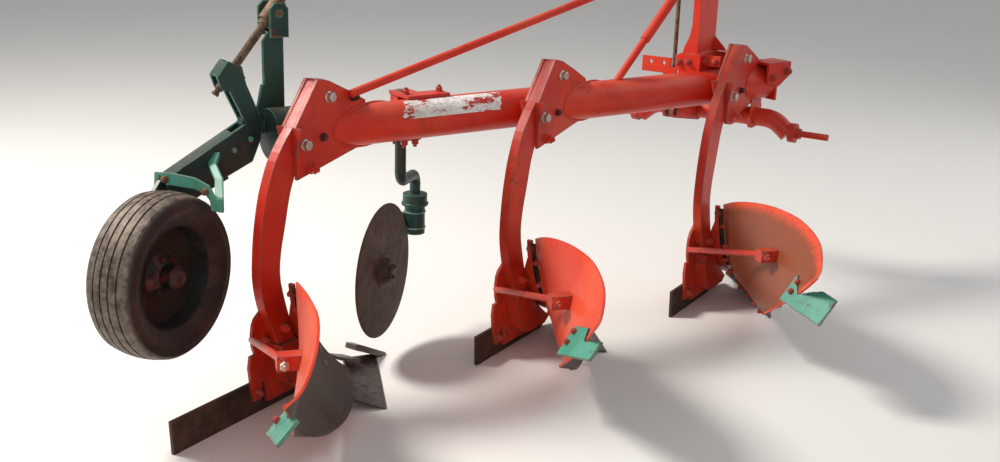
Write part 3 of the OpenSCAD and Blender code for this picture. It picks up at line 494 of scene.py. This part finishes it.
def body_fixings(k):
    """Bolts of a body, and the welds between the tube and its bracket's plates."""
    b = Builder()
    for node, p, way, size, mat, stud in BODY_BOLTS:
        at, _ = seat(f"{node}_{BODIES[k]}", body_at(k, p))
        b.bolt(at, Vector(way), size, mat, stud)
    for x in (BRACKET_FACE, -BRACKET_FACE):
        ring = []
        for a in angles(WELD_STEPS):
            off = round_beam(a, BEAM_R + 1.5)
            s = (x + k * FURROW + DATUM.x - BEAM0.x - off.x) / BEAM_T.x
            if s < BEAM_FRONT:
                ring.append(BEAM0 + s * BEAM_T + off)
            elif ring:
                b.weld(ring, WELD_R, RED, WELD_RIPPLE)
                ring = []
        if len(ring) > 1:
            b.weld(ring, WELD_R, RED, WELD_RIPPLE, len(ring) == WELD_STEPS)
    b.make(f"fixings_{BODIES[k]}", "frame")


for k in range(3):
    body_fixings(k)


def countersunk(b, at, normal, across, mat, lift=0.4, n=20):
    """Head of a countersunk bolt: a round patch that lies on a face."""
    z = Vector(normal).normalized()
    x = (UP - UP.dot(z) * z).normalized()
    y = z.cross(x)
    rim = [Vector(at) + lift * z + across / 2 * (math.cos(a) * x + math.sin(a) * y) for a in angles(n)]
    b.add(rim, [tuple(range(n))], mat)


# Bolts of the headstock and of the front end: node, place in the rear body's frame, way, size
FRAME_BOLTS = [
    ("mast_foot", (571, 2488, 1022), (0, -1, 0), 24),
    ("mast_foot", (612, 2488, 1028), (0, -1, 0), 24),
    ("mast_foot", (668, 2540, 1030), (0, -1, 0), 24),
    ("mast_foot", (712, 2540, 1032), (0, -1, 0), 24),
    ("front_end", (919, 2867, 975), tuple(BEAM_N), 26),
    ("front_end", (885, 2790, 951), tuple(BEAM_N), 26),
]
BRACE_LOW, BRACE_TOP = DATUM + Vector((481.8, 2076.5, 985)), DATUM + Vector((619, 2514, 1452))
BRACE_R = 16
MAST_SEAM = ((596, 2502, 1061), (644, 2502, 1061), (644, 2688, 1061))    # corners of its weld on the foot


def frame_fixings():
    """Bolts of headstock, front end, long stay and coulter clamp, and welds of the short brace and mast."""
    b = Builder()
    for node, p, way, size in FRAME_BOLTS:
        at, _ = seat(node, body_at(0, p))
        b.bolt(at, Vector(way), size, RED_WORN, 6)
    # the long stay on the rear bracket
    at, _ = seat("bracket_rear", body_at(0, (30, 955, 1030)))
    b.bolt(at, Vector((1, 0, 0)), 26, HUB, 8)
    # welds: the short brace's foot on the tube, and the mast on its foot
    up = (BRACE_TOP - BRACE_LOW).normalized()
    side = up.orthogonal().normalized()
    ring = []
    for a in angles(40):
        q = BRACE_LOW + BRACE_R * (math.cos(a) * side + math.sin(a) * up.cross(side))
        ring.append(seat("beam", q - 30 * up)[0] * 0.35 + seat("beam", q)[0] * 0.65)
    b.weld(ring, 4, RED, 5, True)
    b.weld([DATUM + Vector(q) for q in MAST_SEAM], 4, RED, 5)
    # clamp of the coulter: four nuts under its lower plate, two heads on its strap
    for n, s in ((-118, 252), (-118, 298), (-48, 252), (-48, 298)):
        b.bolt(BEAM0 + n * BEAM_N + s * BEAM_T - 88 * UP, -UP, 24, RED_WORN, 10)
    for s in (250, 390):
        b.bolt(BEAM0 - 35 * BEAM_N + s * BEAM_T + 84.8 * UP, UP, 22, RED_WORN, 8)
    b.make("frame_fixings", "frame")


frame_fixings()


def wheel_gear():
    """Fixings of the depth wheel's arm, scraper and hub."""
    arm = Builder()
    # These two bolts are green like the arm but take its lit mint tone: painted highlight.
    for s, z in ((-359, 908), (-418, 876)):
        arm.bolt(CARRIER(34, s, z), CARRIER.x, 17, MINT, 3, False)
    for p in ((78, 136, 252), (-86, 136, 272)):
        at, _ = seat("scraper", WHEEL(*p))
        arm.bolt(at, -WHEEL.y, 20, RUSTY, 4)
    arm.make("arm_fixings", "wheel_arm")
    hub = Builder()
    hub.lathe(WHEEL(56, 0, 0), WHEEL.x, [(0, 35), (4, 34), (6, 30), (14, 28), (19, 22), (20, 0.1)], HUB, 32)
    for a in angles(5):
        hub.bolt(WHEEL(3, 54 * math.cos(a + 0.4), 54 * math.sin(a + 0.4)), WHEEL.x, 17, HUB, 3)
    hub.make("hub_cap", "depth_wheel")


wheel_gear()


AXLE_Y, AXLE_Z = -318, 342    # the disc's axle in the coulter's own frame


def coulter_gear():
    """Fixings of the coulter's disc and arm, and rings of its swivel and stem."""
    disc = Builder()
    for side, end in ((1, 30), (-1, -32)):
        for a in angles(4):
            at = COULTER(end, AXLE_Y + 28 * math.cos(a + 0.5), AXLE_Z + 28 * math.sin(a + 0.5))
            disc.bolt(at, side * COULTER.x, 13, SHELL, 3)
    collar = [(0, 66), (2.5, 65), (3.2, 60), (1.5, 54)]
    disc.lathe(COULTER(2.6, AXLE_Y, AXLE_Z), COULTER.x, collar, SHELL, 40)
    disc.make("coulter_hub_fixings", "coulter_disc")
    arm = Builder()
    arm.bolt(COULTER(26, AXLE_Y, AXLE_Z), COULTER.x, 24, RUSTY, 0)
    for z in (425, 489):
        ring = [COULTER(41 * math.cos(a), 41 * math.sin(a), z) for a in angles(40)]
        arm.tube(ring, 3, MINT, 8, True)
    arm.make("coulter_arm_fixings", "coulter_arm")
    stem = Builder()
    top = DATUM + Vector((15, 1255, 1006))        # the stem's upper end, above its clamp
    stem.lathe(top, UP, [(-8, 22), (0, 22), (3, 20), (4, 12), (4, 0.1)], RUSTY, 28)
    cap = [(0, 52), (3, 53), (9, 53), (12, 50), (12, 30)]
    stem.lathe(COULTER(0, 0, 516), UP, cap, GREEN_PAINTED_SHADE, 36)
    stem.make("coulter_stem_rings", "frame")


coulter_gear()

# Moldboards: the CAD's own sheet, drawn finer. Each row is a section: its lower edge, its curve's middle
# point and its top edge. A place on it is u, from the shin to the wing, and v, from the lower edge up.
BOARD = [
    [(62, 888, 52), (84, 655, 205), (78, 603, 465)],
    [(145, 800, 52), (66, 612, 180), (169, 499, 514)],
    [(232, 700, 54), (70, 560, 172), (288, 383, 557)],
    [(330, 545, 70), (130, 455, 182), (420, 266, 584)],
    [(390, 400, 98), (240, 300, 208), (550, 150, 586)],
    [(420, 302, 130), (365, 160, 238), (664, 5, 563)],
    [(436, 225, 160), (500, 50, 295), (714, -107, 512)],
    [(437, 155, 190), (622, -30, 352), (728, -196, 494)]]
BOARD_T = 8
BOARD_BROWN = (0.35, 0.1, 0.95)        # how much of each body's board has gone brown on its back


def smooth_line(rows, u):
    """Smooth curve through points, at 0 to 1 of its way."""
    n = len(rows) - 1
    i = min(n - 1, int(u * n))
    t = u * n - i
    p = [Vector(r) for r in rows]
    a = p[i - 1] if i > 0 else 2 * p[0] - p[1]
    b, c = p[i], p[i + 1]
    d = p[i + 2] if i < n - 1 else 2 * p[n] - p[n - 1]
    return 0.5 * (2 * b + (c - a) * t + (2 * a - 5 * b + 4 * c - d) * t * t
                  + (3 * b - a - 3 * c + d) * t ** 3)


def board_point(u, v):
    low, mid, top = (smooth_line([r[i] for r in BOARD], u) for i in range(3))
    return (1 - v) ** 2 * low + 2 * v * (1 - v) * mid + v * v * top


def board_normal(u, v):
    e = 0.004
    du = board_point(min(1, u + e), v) - board_point(max(0, u - e), v)
    dv = board_point(u, min(1, v + e)) - board_point(u, max(0, v - e))
    return du.cross(dv).normalized()


def back_of_board(u, v, above=0.0):
    return board_point(u, v) + (BOARD_T + above) * board_normal(u, v)


BOARD_UV = [(i / 120, j / 80) for i in range(121) for j in range(81)]
BOARD_TREE = KDTree(len(BOARD_UV))
for place, (u, v) in enumerate(BOARD_UV):
    BOARD_TREE.insert(back_of_board(u, v), place)
BOARD_TREE.balance()


def board_materials(k):
    """Painted back of a body's board, worn in another way on each, and its scoured face."""
    t = Tree(f"board_back_{BODIES[k]}")
    uv = t.node("ShaderNodeUVMap", uv_map="sheet").outputs[0]
    sep = t.node("ShaderNodeSeparateXYZ")
    t.nt.links.new(uv, sep.inputs[0])
    u, v = sep.outputs[0], sep.outputs[1]
    bright = t.mix(t.step(t.noise(3.3, 5), 0.4, 0.65), srgb(226, 62, 34), srgb(238, 86, 50))
    streak = t.noise(5, 6, 0.7, t.stretch((9, 2.5, 1), uv))
    rim = t.calc("MINIMUM", t.calc("MINIMUM", u, t.calc("SUBTRACT", 1.0, u)),
                 t.calc("MINIMUM", t.calc("MULTIPLY", v, 0.7), t.calc("SUBTRACT", 1.0, v)))
    inside = t.step(t.calc("ADD", rim, t.calc("MULTIPLY", streak, 0.1)), 0.05, 0.12)
    brown = t.mix(streak, srgb(116, 60, 36), srgb(152, 84, 52))
    color = t.mix(t.calc("MULTIPLY", inside, BOARD_BROWN[k]), bright, brown)
    nick = t.calc("MULTIPLY", t.step(t.noise(30, 6, 0.75), 0.62, 0.66), t.step(t.noise(3.7, 2), 0.45, 0.6))
    edge = t.calc("MULTIPLY", t.step(t.edge(0.004), 0.02, 0.2), t.step(t.noise(24, 5, 0.7), 0.32, 0.6))
    worn = t.calc("MAXIMUM", nick, edge)
    color = t.mix(t.calc("MULTIPLY", worn, 0.85), color, srgb(74, 46, 36))
    roughness = t.calc("ADD", t.calc("MULTIPLY", streak, 0.25), 0.34)
    h = t.calc("SUBTRACT", t.calc("MULTIPLY", t.noise(80, 4), 0.3), worn)
    back = t.finish(color, roughness, 0.0, t.bump(h, 0.35, 0.0008, 0.002), 0.1)

    t = Tree(f"board_face_{BODIES[k]}")
    uv = t.node("ShaderNodeUVMap", uv_map="sheet").outputs[0]
    flow = t.noise(6, 7, 0.72, t.stretch((2.2, 14, 1), uv))
    color = t.mix(t.step(flow, 0.35, 0.65), srgb(54, 41, 34), srgb(80, 63, 52))
    patch = t.step(t.noise(6.1, 7, 0.7), 0.5, 0.72)
    color = t.mix(t.calc("MULTIPLY", patch, 0.55), color, srgb(78, 54, 40))
    edge = t.step(t.edge(0.004), 0.02, 0.2)
    color = t.mix(t.calc("MULTIPLY", edge, 0.5), color, srgb(140, 122, 108))
    roughness = t.calc("ADD", t.calc("MULTIPLY", flow, 0.3), 0.42)
    roughness = t.calc("ADD", roughness, t.calc("MULTIPLY", patch, 0.15))
    h = t.calc("ADD", flow, t.calc("MULTIPLY", t.noise(110, 4), 0.4))
    face = t.finish(color, roughness, 0.0, t.bump(h, 0.3, 0.0008, 0.002))
    return back, face


def grid(nx, ny):
    return {(i, j) for i in range(nx) for j in range(ny)}


def shell_faces(nx, ny, cells, turn):
    """Faces of a sheet with thickness, each with the side it is on: near, far, low, high or end.

    The points are two layers of rows of ny + 1; cells says which squares are there, and turn, 1 or -1, which
    way the faces wind.
    """
    row, layer = ny + 1, (nx + 1) * (ny + 1)
    for i, j in sorted(cells):
        a, b = i * row + j, (i + 1) * row + j
        quad = (a, b, b + 1, a + 1) if turn == 1 else (a, a + 1, b + 1, b)
        yield quad, "near"
        yield tuple(layer + p for p in reversed(quad)), "far"
    for i in range(nx):
        for j, side, way in ((0, "low", -turn), (ny, "high", turn)):
            if (i, min(j, ny - 1)) in cells:
                a, b = i * row + j, (i + 1) * row + j
                yield (a, b, layer + b, layer + a)[::way], side
    for j in range(ny):
        for i, way in ((0, turn), (nx, -turn)):
            if (min(i, nx - 1), j) in cells:
                a = i * row + j
                yield (a, a + 1, layer + a + 1, layer + a)[::way], "end"


def moldboard(k):
    """Sheet of a board, with both faces and its rim, and its u and v as texture places."""
    back, face = board_materials(k)
    nu, nv = 84, 44               # cells of its grid
    verts, uvs = [], []
    for off in (0, BOARD_T):
        for i in range(nu + 1):
            for j in range(nv + 1):
                u, v = i / nu, j / nv
                verts.append(body_at(k, board_point(u, v) + off * board_normal(u, v)))
                uvs.append((u, v))
    b = Builder()
    b.mats = [face, back]
    b.verts = verts
    for quad, side in shell_faces(nu, nv, grid(nu, nv), 1):
        b.faces.append(quad)
        b.slots.append(0 if side in ("near", "low") else 1)
        b.smooth.append(True)
    obj = b.make(f"moldboard_sheet_{BODIES[k]}", "frame")
    layer = obj.data.uv_layers.new(name="sheet")
    for loop in obj.data.loops:
        layer.data[loop.index].uv = uvs[loop.vertex_index]
    obj.data.set_sharp_from_angle(angle=math.radians(40))
    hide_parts(f"moldboard_{BODIES[k]}")


# Place of each tail piece: its root corner and its turn, rise and roll
TAIL = [((614, -32, 417), -40.2, -18.2, 45.6),
        ((592, -32, 432), -34.4, -17.2, 46.8),
        ((604, -10, 430), -33.5, 5.5, 54.9)]
TAIL_LEN, TAIL_W, TAIL_T = 222, 108, 9
TAIL_CELLS = (48, 24)         # cells of its grid, along and across
NICK, LEAN = 1.4, 1.6         # how far its chipped edges and its end stray
TAIL_PAINT = paint("chipped_mint_enamel", srgb(44, 138, 116), srgb(78, 158, 136), wear=1.2, spots=1.6,
                   dust=0.12, bare=srgb(122, 62, 40))
CLIP = (405, 137, 429)        # middle of the stay's clip
CLIP_TURN = -42


def under_board(k, p):
    """Whether a point lies deeper than the back of a board, and within a margin of its outline."""
    deeper, margin = -2, 8
    q, i, _ = BOARD_TREE.find(p - body_at(k, (0, 0, 0)))
    n = board_normal(*BOARD_UV[i])
    off = p - body_at(k, q)
    depth = off.dot(n)
    return depth < deeper and (off - depth * n).length < margin


def one_piece(cells):
    """The largest patch of a grid's cells that hold together by their sides."""
    best, left = set(), set(cells)
    while left:
        patch, edge = set(), [left.pop()]
        while edge:
            i, j = edge.pop()
            patch.add((i, j))
            for near in ((i + 1, j), (i - 1, j), (i, j + 1), (i, j - 1)):
                if near in left:
                    left.discard(near)
                    edge.append(near)
        best = max(best, patch, key=len)
    return best


def shade_strip_and_strap(k):
    """Dark strip between shin and board, painted shade that stands in for the shaded gap there, and the
    bolted strap along the board's lower edge.
    """
    b = Builder()
    steps, lap, thick = 24, 7, 2.5
    rows = []
    for i in range(steps + 1):
        v = 0.3 + 0.66 * i / steps
        n = board_normal(0.002, v)
        along = (board_point(0.02, v) - board_point(0, v)).normalized()
        base = board_point(0, v) + (BOARD_T + 0.6) * n
        inner = base + Vector((-34, 3, 0))
        rows.append((inner, base + lap * along, base + lap * along + thick * n, inner + thick * n))
    verts = [body_at(k, q) for row in rows for q in row]
    faces = [(4 * i + j, 4 * i + (j + 1) % 4, 4 * i + 4 + (j + 1) % 4, 4 * i + 4 + j)
             for i in range(steps) for j in range(4)]
    # This dark brown steel strip lies where there is only a shaded gap: painted shade.
    b.add(verts, faces + [(3, 2, 1, 0), tuple(4 * steps + j for j in range(4))], SHELL)
    edge = 0.075                  # where the strap lies, up from the lower edge
    line = [0.05 + 0.5 * i / 20 for i in range(21)]
    b.tube([body_at(k, back_of_board(u, edge, 5)) for u in line], 6.5, RED, 10)
    for u in (0.14, 0.25, 0.36, 0.47):
        b.bolt(body_at(k, back_of_board(u, edge, 10)), board_normal(u, edge), 17, RED_WORN, 4)
    b.make(f"shade_strip_{BODIES[k]}", "frame")


def tail_turn(k):
    _, turn, rise, roll = TAIL[k]
    return (Matrix.Rotation(math.radians(turn), 3, "Z") @ Matrix.Rotation(math.radians(rise), 3, "Y")
            @ Matrix.Rotation(math.radians(roll), 3, "X"))


def tail_plate(k):
    """Green tail plate with chipped edges, left out where it has passed into the board."""
    root, m = TAIL[k][0], tail_turn(k)
    plate = Builder()
    nx, ny = TAIL_CELLS
    under = []
    for height in (0, TAIL_T):
        for i in range(nx + 1):
            for j in range(ny + 1):
                x, y = TAIL_LEN * i / nx, -TAIL_W * j / ny
                nick = NICK * math.sin(5.1 * i + 2.3 * k) * math.sin(3.7 * i) if j in (0, ny) else 0
                lean = LEAN * math.sin(2.9 * j + k) if i == nx else 0
                place = m @ Vector((x - abs(lean), y + (nick if j else -abs(nick)), 0))
                plate.verts.append(body_at(k, root) + place + height * (m @ UP))
                under.append(under_board(k, body_at(k, root) + place))
    row = ny + 1
    cells = one_piece({(i, j) for i, j in grid(nx, ny)
                       if not all(under[a * row + b] for a in (i, i + 1) for b in (j, j + 1))})
    plate.mats = [TAIL_PAINT]
    plate.faces = [quad for quad, _ in shell_faces(nx, ny, cells, -1)]
    plate.slots, plate.smooth = [0] * len(plate.faces), [False] * len(plate.faces)
    tail = plate.make(f"tail_plate_{BODIES[k]}", "frame")
    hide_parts(f"tail_{BODIES[k]}")


def board_fixings(k):
    """Bolts of a body's tail plate, stay, board and share."""
    b = Builder()
    m = tail_turn(k)
    for x, y in ((26, -22), (26, -62)):
        b.bolt(body_at(k, TAIL[k][0]) + m @ Vector((x, y, TAIL_T)), m @ UP, 17, RED_WORN, 3)
    t = Matrix.Rotation(math.radians(CLIP_TURN), 3, "Z")
    face = t @ Vector((1, 0, 0))
    at, _ = seat(f"stay_{BODIES[k]}", body_at(k, CLIP) + t @ Vector((30, 14, -3)))
    b.lathe(at, face, [(0, 21), (3, 21), (4, 20)], RED, 28)
    b.bolt(at + 4 * face, face, 26, ZINC if k == 0 else RED_WORN, 10, False)
    # nuts on the board's back with their heads on its face, and heads on the share
    for u, v in ((0.045, 0.42), (0.05, 0.8), (0.12, 0.3), (0.13, 0.62)):
        n = board_normal(u, v)
        b.bolt(body_at(k, back_of_board(u, v, 0.2)), n, 20, RED_WORN, 8)
        countersunk(b, body_at(k, board_point(u, v)), -n, 22, POLISH)
    for x, y in ((40, 1010), (110, 930), (180, 850), (235, 780)):
        at, n = seat(f"share_{BODIES[k]}", body_at(k, (x, y, 60)))
        countersunk(b, at, n, 24, POLISH)
    b.make(f"board_fixings_{BODIES[k]}", "frame")


for k in range(3):
    moldboard(k)
    tail_plate(k)
    board_fixings(k)
    shade_strip_and_strap(k)


def sticker():
    """Plain white strip on the tube, without print, torn at its ends and crazed."""
    t = Tree("worn_sticker")
    long_way = t.stretch((1, 1, 3))
    gone = t.step(t.noise(9, 7, 0.75, long_way), 0.56, 0.585)
    crack = t.step(t.calc("ABSOLUTE", t.calc("SUBTRACT", t.noise(26, 5, 0.7, long_way), 0.5)), 0.0, 0.012)
    white = t.mix(t.step(t.noise(6, 5), 0.4, 0.7), srgb(232, 230, 226), srgb(204, 198, 190))
    color = t.mix(crack, srgb(120, 60, 48), white)
    color = t.mix(gone, color, srgb(170, 44, 32))
    mat = t.finish(color, 0.45, 0.0, t.bump(t.calc("SUBTRACT", crack, gone), 0.4, 0.0006))
    b = Builder()
    rows, cols = 16, 60
    verts = []
    for i in range(rows + 1):
        a = math.radians(14 + 65 * i / rows)
        start = 177 + 34 * i / rows
        ragged = {0: 4 * math.sin(i * 2.1), cols: 2.5 * math.sin(i * 1.3 + 2)}
        for j in range(cols + 1):
            s = start + 415 * j / cols + ragged.get(j, 0)
            verts.append(BEAM0 + s * BEAM_T + round_beam(a, BEAM_R + 0.5))
    w = cols + 1
    b.add(verts, [(i * w + j, i * w + j + 1, (i + 1) * w + j + 1, (i + 1) * w + j)
                  for i in range(rows) for j in range(cols)], mat, True)
    b.make("sticker", "frame")


sticker()


# Studio and camera

def studio():
    """Pale floor, a bright surround that lights less than it shows, and three lamps."""
    floor_mat = Tree("floor_paint")
    tone = floor_mat.mix(floor_mat.noise(0.4, 2), srgb(226, 224, 220), srgb(232, 230, 226))
    floor = bpy.data.objects.new("floor", bpy.data.meshes.new("floor"))
    half = 60
    corners = [(-half, -half, 0), (half, -half, 0), (half, half, 0), (-half, half, 0)]
    floor.data.from_pydata(corners, [], [(0, 1, 2, 3)])
    floor.data.materials.append(floor_mat.finish(tone, 0.9))
    bpy.context.scene.collection.objects.link(floor)

    world = bpy.data.worlds.new("studio")
    bpy.context.scene.world = world
    world.use_nodes = True
    nt = world.node_tree
    nt.nodes.clear()
    out = nt.nodes.new("ShaderNodeOutputWorld")
    seen = nt.nodes.new("ShaderNodeBackground")
    light = nt.nodes.new("ShaderNodeBackground")
    mixer = nt.nodes.new("ShaderNodeMixShader")
    path = nt.nodes.new("ShaderNodeLightPath")
    seen.inputs[0].default_value = srgb(226, 226, 224)
    seen.inputs[1].default_value = 1.0
    light.inputs[0].default_value = (0.97, 0.98, 1.0, 1)
    light.inputs[1].default_value = 0.42
    nt.links.new(path.outputs["Is Camera Ray"], mixer.inputs[0])
    nt.links.new(light.outputs[0], mixer.inputs[1])
    nt.links.new(seen.outputs[0], mixer.inputs[2])
    nt.links.new(mixer.outputs[0], out.inputs[0])

    target = Vector((0.54, 1.0, 0.5))
    for name, where, size, watts, tint in (
            ("key", (-3.4, -1.0, 5.2), 1.6, 490, (1.0, 0.96, 0.90)),
            ("fill", (3.2, -5.0, 2.6), 4.0, 60, (1.0, 0.98, 0.95)),
            ("back", (3.4, 5.6, 3.4), 3.5, 60, (1.0, 1.0, 1.0))):
        data = bpy.data.lights.new(name, "AREA")
        data.size = size
        data.energy = watts
        data.color = tint
        o = bpy.data.objects.new(name, data)
        o.location = where
        o.rotation_euler = (target - Vector(where)).to_track_quat("-Z", "Y").to_euler()
        bpy.context.scene.collection.objects.link(o)


def camera():
    """The photograph's view: place, azimuth, fall and roll, and its focal length at 1000 pixels wide."""
    az, fall, roll, focal = 0.54541, 0.29942, 0.032159, 1206.16
    fwd = Vector((-math.sin(az) * math.cos(fall), math.cos(az) * math.cos(fall), -math.sin(fall)))
    right = Vector((math.cos(az), math.sin(az), 0))
    up = right.cross(fwd)
    r = math.cos(roll) * right + math.sin(roll) * up
    u = -math.sin(roll) * right + math.cos(roll) * up
    data = bpy.data.cameras.new("camera")
    data.sensor_width = 36
    data.lens = 36 * focal / 1000
    cam = bpy.data.objects.new("camera", data)
    m = Matrix((r, u, -fwd)).transposed().to_4x4()
    m.translation = Vector((2.59294, -2.26587, 1.82411)) + DATUM * MM
    cam.matrix_world = m
    bpy.context.scene.collection.objects.link(cam)
    bpy.context.scene.camera = cam


studio()
camera()
bpy.context.scene.view_settings.view_transform = "Standard"
